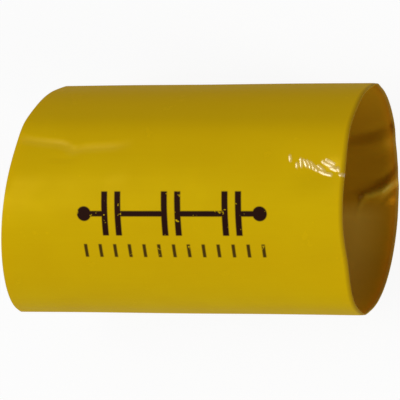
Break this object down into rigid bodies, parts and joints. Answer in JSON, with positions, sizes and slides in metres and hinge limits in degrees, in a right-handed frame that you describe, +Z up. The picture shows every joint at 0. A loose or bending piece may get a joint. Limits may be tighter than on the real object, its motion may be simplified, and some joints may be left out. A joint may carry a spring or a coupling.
{
  "type": "capacitor sleeve",
  "caption": "Empty open-ended tube of thin glossy yellow plastic film, softly oval and creased, cut a little aslant, lying on its side; it slips over a capacitor can.",
  "frame": {"origin": "middle of the sleeve's length and width, on the surface it lies on", "axes": "+X along the tube towards the creased mouth, +Y to one fold line and -Y to the other, +Z up through the wall that carries the ink mark"},
  "size_m": [0.0319, 0.0196, 0.0188],
  "materials": {
    "film": "glossy yellow shrink film with a dark ink mark"
  },
  "bodies": {
    "root": {"sleeve": "film"}
  },
  "joints": []
}
